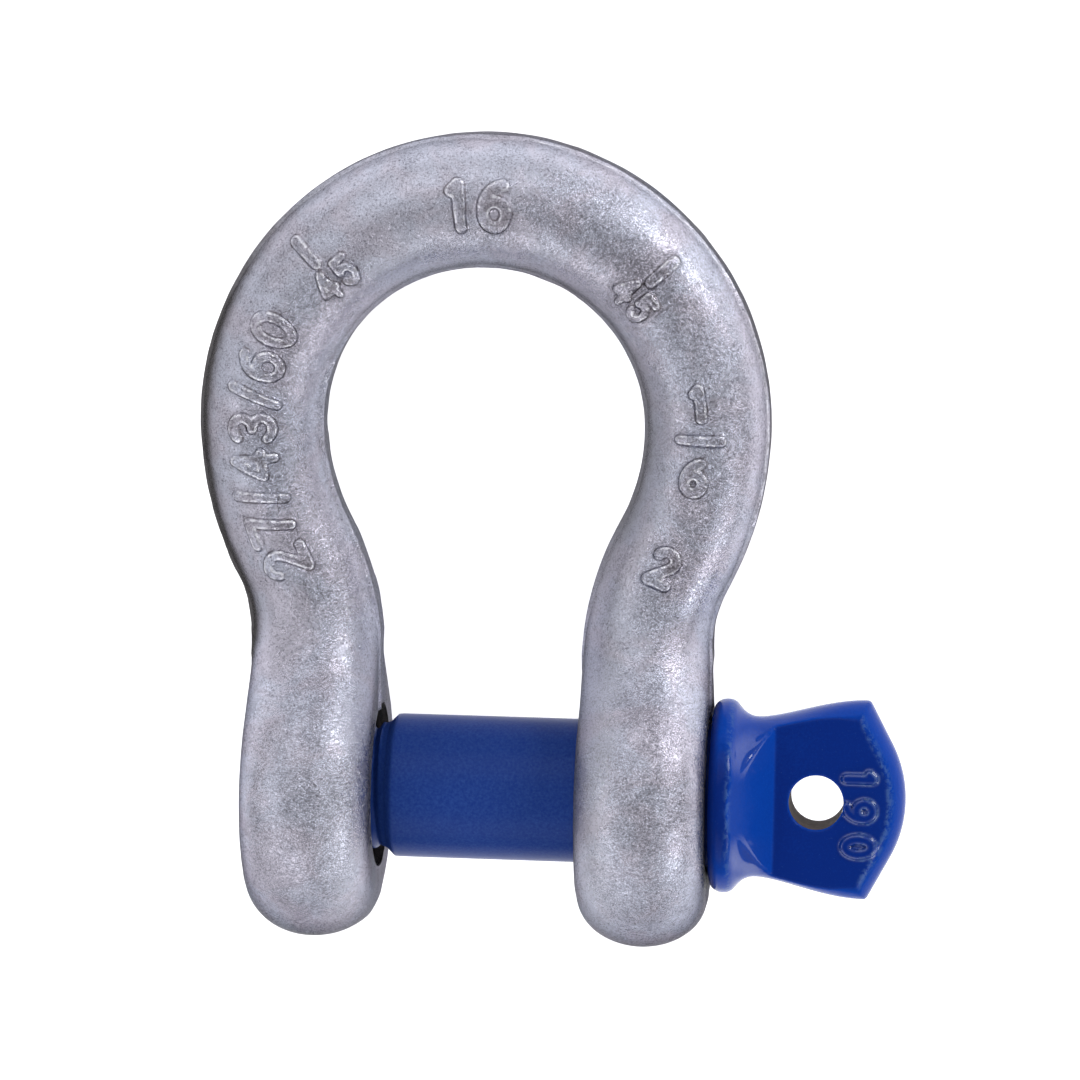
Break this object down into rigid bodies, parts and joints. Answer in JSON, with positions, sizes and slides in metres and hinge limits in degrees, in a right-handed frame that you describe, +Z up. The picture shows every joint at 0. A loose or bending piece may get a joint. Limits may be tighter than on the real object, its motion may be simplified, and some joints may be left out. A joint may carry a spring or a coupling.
{
  "type": "screw pin bow shackle",
  "caption": "Forged bow shackle for rope or chain, lying flat, with a screw pin across its jaw that draws out sideways by its eye.",
  "frame": {"origin": "centre of the bounding box's base, on the surface that the shackle lies on", "axes": "+X along the pin towards its eye, +Y from the pin towards the crown, +Z up"},
  "size_m": [0.0942, 0.107, 0.041],
  "materials": {
    "galvanised_steel": "hot-dip galvanised forged steel, satin grey with a fine mottled grain",
    "blue_enamel": "glossy blue enamel over forged steel, bare steel in the eye's hole"
  },
  "bodies": {
    "bow": {"bow": "galvanised_steel"},
    "pin": {"screw_pin": "blue_enamel"}
  },
  "joints": [
    {"name": "pin_draw", "type": "slide", "parent": "bow", "child": "pin", "axis": [1, 0, 0], "range_m": [0, 0.065]}
  ]
}
